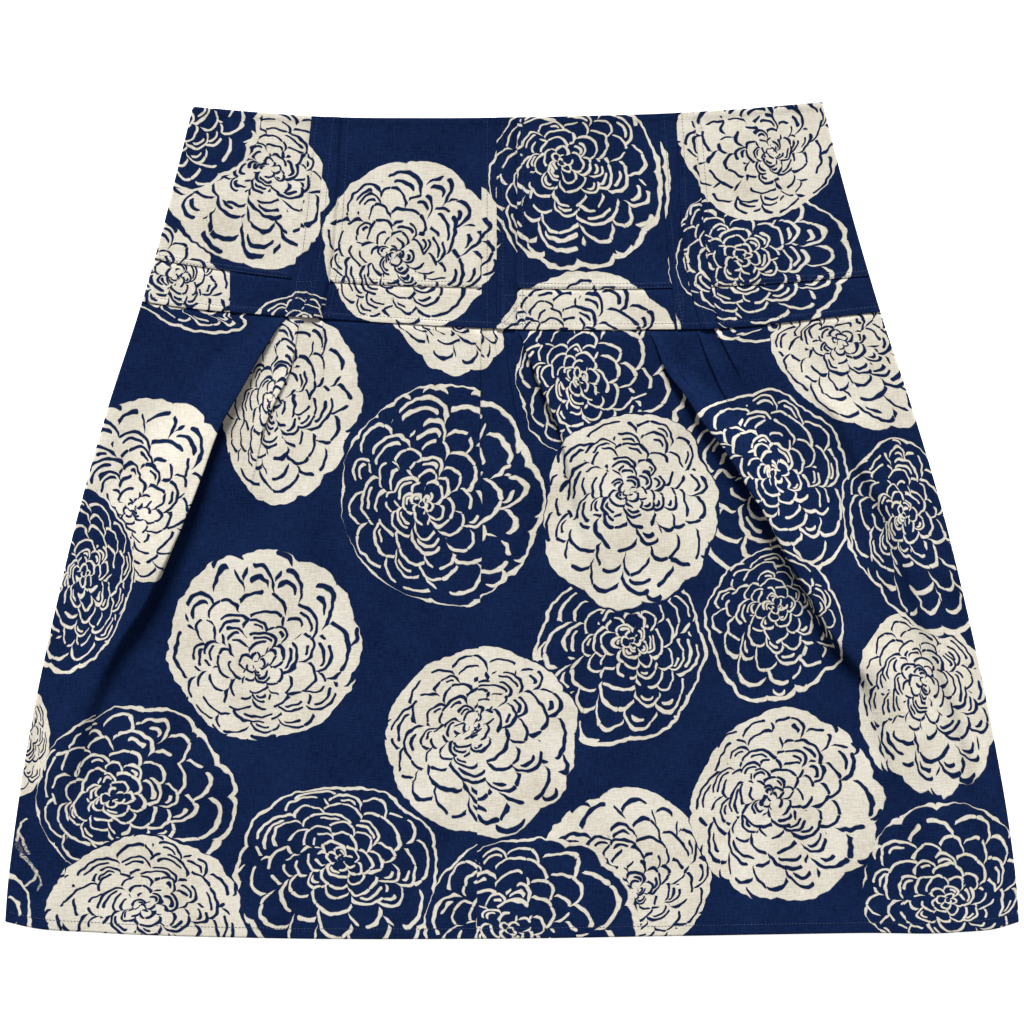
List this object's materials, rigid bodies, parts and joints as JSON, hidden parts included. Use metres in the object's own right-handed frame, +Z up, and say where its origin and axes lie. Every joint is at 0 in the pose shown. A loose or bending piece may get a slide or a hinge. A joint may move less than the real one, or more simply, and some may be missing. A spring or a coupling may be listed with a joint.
{
  "type": "a-line skirt",
  "caption": "Short a-line skirt laid flat, front up, with a fitted hip yoke, stitched straps and soft pleats that open into folds.",
  "frame": {"origin": "bottom centre of the bounding box: the middle of the laid skirt, on the surface that it lies on", "axes": "+X across the skirt, to the viewer's right as it lies front up; +Y from the hem to the waist; +Z up, from the back to the front"},
  "size_m": [0.6496, 0.5359, 0.0139],
  "materials": {
    "printed_cloth": "matt cotton and linen weave, navy with large cream flowers",
    "sewing_thread": "matt navy polyester thread",
    "zip_tape": "dark blue woven tape with nylon teeth"
  },
  "bodies": {
    "root": {"front_yoke_side_left": "printed_cloth", "front_yoke_centre_left": "printed_cloth", "front_yoke_centre_right": "printed_cloth", "front_yoke_side_right": "printed_cloth", "front_band_outer_left": "printed_cloth", "front_band_inner_left": "printed_cloth", "front_band_centre_left": "printed_cloth", "front_band_centre_right": "printed_cloth", "front_band_side_right": "printed_cloth", "front_strap_left": "printed_cloth", "front_strap_centre": "printed_cloth", "front_strap_right": "printed_cloth", "front_skirt": "printed_cloth", "back_yoke_left": "printed_cloth", "back_yoke_right": "printed_cloth", "back_skirt_left": "printed_cloth", "back_skirt_right": "printed_cloth", "back_zip": "zip_tape"}
  },
  "joints": []
}
